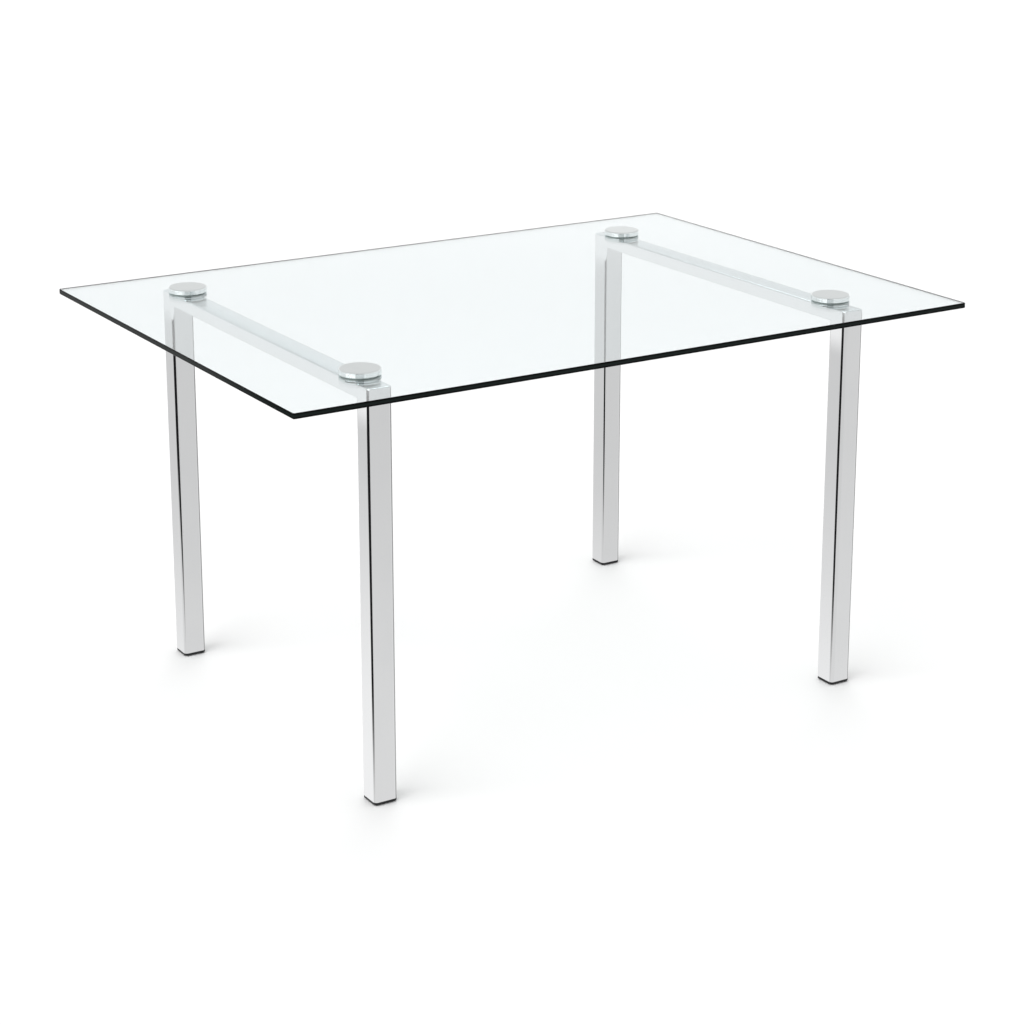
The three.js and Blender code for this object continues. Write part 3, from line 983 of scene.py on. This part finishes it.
glass_length = glass_high.x - glass_low.x
glass_width = glass_high.y - glass_low.y
glass_centre = (glass_low + glass_high) / 2
full = rounded_outline(glass_length, glass_width, GLASS_CORNER_RADIUS, GLASS_CORNER_STEPS)
arris = rounded_outline(
    glass_length - 2 * GLASS_ARRIS,
    glass_width - 2 * GLASS_ARRIS,
    GLASS_CORNER_RADIUS - GLASS_ARRIS,
    GLASS_CORNER_STEPS,
)
rings = [
    outline_at(arris, glass_low.z, glass_centre),
    outline_at(full, glass_low.z + GLASS_ARRIS, glass_centre),
    outline_at(full, glass_high.z - GLASS_ARRIS, glass_centre),
    outline_at(arris, glass_high.z, glass_centre),
]
glass_mesh = mesh_of_rings("glass_sheet", np.array(rings), "face")
bushes = [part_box(f"hole_bush_{place}") for place in PLACES]
glass_holes = [(low + high) / 2 for low, high in bushes]
glass_mesh = bored(
    glass_mesh, GLASS_HOLE_RADIUS, glass_low.z - MM, glass_high.z + MM, glass_holes
)
glass = place_piece(
    "glass_sheet",
    glass_mesh,
    [material("clear_glass", clear_glass), material("polished_edge", polished_edge)],
    "glass_top",
    "table",
)
facing = np.empty(len(glass_mesh.polygons) * 3, np.float32)
glass_mesh.polygons.foreach_get("normal", facing)
on_edge = np.abs(facing.reshape(-1, 3)[:, 2]) < 0.9
glass_mesh.polygons.foreach_set("material_index", on_edge.astype(np.int32))


# The clamps above the glass: a nylon bush in each hole, a threaded stud through it, and a turned
# and chromed disc with a rounded edge that screws down on a clear washer.

BUSH_EASE = 0.3 * MM
CAP_EDGE_ROUND = 2.5 * MM
CAP_EDGE_STEPS = 8
CAP_BORE_DEPTH = 7 * MM
CAP_FOOT_EASE = 0.4 * MM


def natural_nylon(start):
    """Natural nylon: warm off-white, faintly cloudy, satin."""
    place = start.node("ShaderNodeTexCoord", output="Object")
    cloud = place.noise(300.0, 3.0)
    colour = cloud.between((0.74, 0.73, 0.69, 1), (0.84, 0.83, 0.80, 1))
    return start.node(
        "ShaderNodeBsdfPrincipled",
        inputs={"Base Color": colour, "Roughness": 0.38 + 0.14 * cloud},
    )


nylon = material("natural_nylon", natural_nylon)

for place in PLACES:
    low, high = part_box(f"hole_bush_{place}")
    centre = (low + high) / 2
    radius = (high.x - low.x) / 2
    outline = eased_profile(
        [(INSERT_BORE, low.z), (radius, low.z), (radius, high.z), (INSERT_BORE, high.z)], BUSH_EASE
    )
    bush_mesh = mesh_of_rings(f"nylon_bush_{place}", turned(outline, centre, TURNED_SIDES), "loop")
    bush = place_piece(f"nylon_bush_{place}", bush_mesh, [nylon], f"hole_bush_{place}", "table")

    low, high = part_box(f"clamp_stud_{place}")
    radius = (high.x - low.x) / 2
    rings = threaded_rings(radius, THREAD_DEPTH, STUD_PITCH, low.z, high.z, centre)
    stud_mesh = mesh_of_rings(f"threaded_rod_{place}", rings, "face")
    stud = place_piece(f"threaded_rod_{place}", stud_mesh, [zinc], f"clamp_stud_{place}", "table")

    low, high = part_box(f"clamp_cap_{place}")
    radius = (high.x - low.x) / 2
    angle = np.linspace(0, np.pi / 2, CAP_EDGE_STEPS + 1)
    edge = np.column_stack(
        [
            radius - CAP_EDGE_ROUND * (1 - np.cos(angle)),
            high.z - CAP_EDGE_ROUND * (1 - np.sin(angle)),
        ]
    )
    profile = np.concatenate(
        [
            [(INSERT_BORE, low.z + CAP_BORE_DEPTH), (INSERT_BORE, low.z)],
            [(radius - CAP_FOOT_EASE, low.z), (radius, low.z + CAP_FOOT_EASE)],
            [(radius, low.z + 2 * CAP_FOOT_EASE), (radius, high.z - CAP_EDGE_ROUND - TUBE_LEAD)],
            edge,
            [(radius - CAP_EDGE_ROUND - TUBE_LEAD, high.z), (INSERT_BORE, high.z)],
        ]
    )
    cap_mesh = mesh_of_rings(f"turned_cap_{place}", turned(profile, centre, DISC_SIDES), "face")
    add_turning(cap_mesh, centre)
    cap = place_piece(
        f"turned_cap_{place}", cap_mesh, [disc_chrome_painted_shade], f"clamp_cap_{place}", "table"
    )
